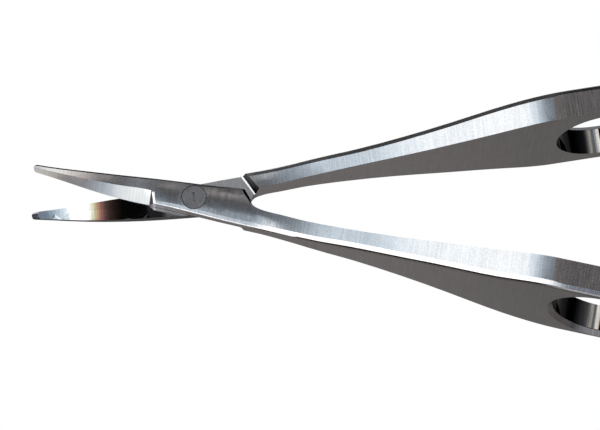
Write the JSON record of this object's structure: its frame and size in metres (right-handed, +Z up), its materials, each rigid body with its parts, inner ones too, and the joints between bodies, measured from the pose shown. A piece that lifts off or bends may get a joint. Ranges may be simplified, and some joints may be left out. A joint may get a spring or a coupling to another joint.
{
  "type": "corneal scissors",
  "caption": "Spring-handled corneal scissors: two crossed steel levers with curved blades on a pivot screw, slotted flat handles and riveted leaf springs.",
  "frame": {"origin": "centre of the bounding box in plan, at the level of the handles' lower edge lands; the pivot axis lies parallel to Z in the plane Y = 0", "axes": "+X from the blades to the tail, along the closed instrument's middle line; +Y to the side of the lower lever's handle; +Z up along the pivot axis, the side to which the blades curve"},
  "size_m": [0.1025, 0.0194, 0.009],
  "materials": {
    "lever_steel": "satin",
    "screw_steel": "matte",
    "spring_steel": "satin",
    "rivet_steel": "satin"
  },
  "bodies": {
    "springs": {"upper_lever_spring": "spring_steel", "lower_lever_spring": "spring_steel", "tail_rivet": "rivet_steel"},
    "upper_lever": {"upper_lever": "lever_steel", "upper_lever_rivets": "rivet_steel"},
    "lower_lever": {"lower_lever": "lever_steel", "pivot_screw": "screw_steel", "lower_lever_rivets": "rivet_steel"}
  },
  "joints": [
    {"name": "upper_lever_turn", "type": "hinge", "parent": "springs", "child": "upper_lever", "pos_m": [-0.03969, 0, 0.0045], "axis": [0, 0, 1], "range_deg": [0, 8], "stiffness_Nm_per_rad": 0.15, "deforming": ["upper_lever_spring"]},
    {"name": "lower_lever_turn", "type": "hinge", "parent": "springs", "child": "lower_lever", "pos_m": [-0.03969, 0, 0.0045], "axis": [0, 0, -1], "range_deg": [0, 8], "stiffness_Nm_per_rad": 0.15, "deforming": ["lower_lever_spring"]}
  ],
  "couplings": [
    {"joint": "lower_lever_turn", "follows": "upper_lever_turn", "ratio": 1}
  ]
}
